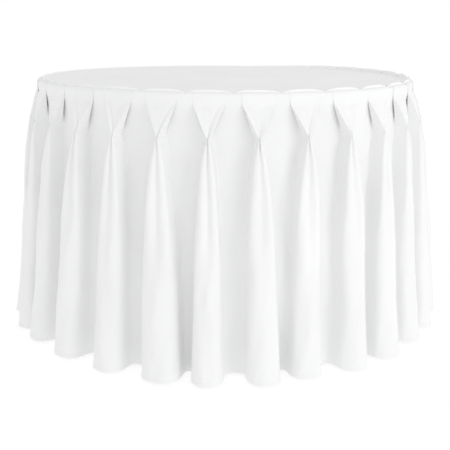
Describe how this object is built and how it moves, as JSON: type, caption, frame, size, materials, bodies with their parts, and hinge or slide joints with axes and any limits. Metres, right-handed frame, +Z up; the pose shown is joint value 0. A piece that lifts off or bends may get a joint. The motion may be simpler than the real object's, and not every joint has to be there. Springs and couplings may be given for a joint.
{
  "type": "round table with pleated tablecloth",
  "caption": "Round folding banquet table dressed in a fitted white tablecloth with a pinch-pleated skirt to the floor.",
  "frame": {"origin": "on the floor, under the centre of the round table", "axes": "+Z up, -Y towards the side that is seen first, +X to its right and across the two folding leg frames"},
  "size_m": [1.4272, 1.435, 0.768],
  "materials": {
    "top_cloth": "plain woven polyester, matt",
    "skirt_cloth": "plain woven polyester with a faint sheen",
    "header_tape": "woven stiffening tape",
    "plywood": "clear-sealed plywood",
    "edge_band": "extruded vinyl",
    "frame_steel": "powder-coated hammer grey",
    "zinc_steel": "zinc plated",
    "foot_rubber": "moulded matt rubber"
  },
  "bodies": {
    "table_and_cloth": {"top_panel": "top_cloth", "edge_welt": "skirt_cloth", "header_tape": "header_tape", "skirt_panel_1": "skirt_cloth", "skirt_panel_2": "skirt_cloth", "skirt_panel_3": "skirt_cloth", "skirt_panel_4": "skirt_cloth", "skirt_panel_5": "skirt_cloth", "skirt_panel_6": "skirt_cloth", "table_board": "plywood", "edge_band": "edge_band", "right_leg_bracket_front": "zinc_steel", "right_leg_screw_front_1": "zinc_steel", "right_leg_screw_front_2": "zinc_steel", "right_leg_bracket_back": "zinc_steel", "right_leg_screw_back_1": "zinc_steel", "right_leg_screw_back_2": "zinc_steel", "right_brace_bracket": "zinc_steel", "right_brace_screw_1": "zinc_steel", "right_brace_screw_2": "zinc_steel", "right_brace_pin": "zinc_steel", "left_leg_bracket_front": "zinc_steel", "left_leg_screw_front_1": "zinc_steel", "left_leg_screw_front_2": "zinc_steel", "left_leg_bracket_back": "zinc_steel", "left_leg_screw_back_1": "zinc_steel", "left_leg_screw_back_2": "zinc_steel", "left_brace_bracket": "zinc_steel", "left_brace_screw_1": "zinc_steel", "left_brace_screw_2": "zinc_steel", "left_brace_pin": "zinc_steel"},
    "right_leg_frame": {"right_pivot_tube": "frame_steel", "right_leg_front": "frame_steel", "right_leg_back": "frame_steel", "right_foot_front": "foot_rubber", "right_foot_back": "foot_rubber", "right_brace_bar": "frame_steel"},
    "right_upper_brace": {"right_upper_brace": "frame_steel", "right_elbow_rivet": "zinc_steel"},
    "right_lower_brace": {"right_lower_brace": "frame_steel"},
    "left_leg_frame": {"left_pivot_tube": "frame_steel", "left_leg_front": "frame_steel", "left_leg_back": "frame_steel", "left_foot_front": "foot_rubber", "left_foot_back": "foot_rubber", "left_brace_bar": "frame_steel"},
    "left_upper_brace": {"left_upper_brace": "frame_steel", "left_elbow_rivet": "zinc_steel"},
    "left_lower_brace": {"left_lower_brace": "frame_steel"}
  },
  "joints": [
    {"name": "right_leg_fold", "type": "hinge", "parent": "table_and_cloth", "child": "right_leg_frame", "pos_m": [0.4, 0, 0.722], "axis": [0, 1, 0], "range_deg": [0, 94]},
    {"name": "right_upper_brace_swing", "type": "hinge", "parent": "table_and_cloth", "child": "right_upper_brace", "pos_m": [0.13, 0, 0.72], "axis": [0, -1, 0], "range_deg": [0, 38.8]},
    {"name": "right_lower_brace_swing", "type": "hinge", "parent": "right_leg_frame", "child": "right_lower_brace", "pos_m": [0.44138, 0, 0.47428], "axis": [0, 1, 0], "range_deg": [0, 40.5]},
    {"name": "left_leg_fold", "type": "hinge", "parent": "table_and_cloth", "child": "left_leg_frame", "pos_m": [-0.4, 0, 0.72], "axis": [0, -1, 0], "range_deg": [0, 94]},
    {"name": "left_upper_brace_swing", "type": "hinge", "parent": "table_and_cloth", "child": "left_upper_brace", "pos_m": [-0.13, 0, 0.72], "axis": [0, 1, 0], "range_deg": [0, 38.47]},
    {"name": "left_lower_brace_swing", "type": "hinge", "parent": "left_leg_frame", "child": "left_lower_brace", "pos_m": [-0.44138, 0, 0.47228], "axis": [0, -1, 0], "range_deg": [0, 40.31]}
  ],
  "couplings": [
    {"joint": "right_upper_brace_swing", "follows": "right_leg_fold", "ratio": 0.41255},
    {"joint": "right_lower_brace_swing", "follows": "right_leg_fold", "ratio": 0.43064},
    {"joint": "left_upper_brace_swing", "follows": "left_leg_fold", "ratio": 0.40904},
    {"joint": "left_lower_brace_swing", "follows": "left_leg_fold", "ratio": 0.42862}
  ]
}
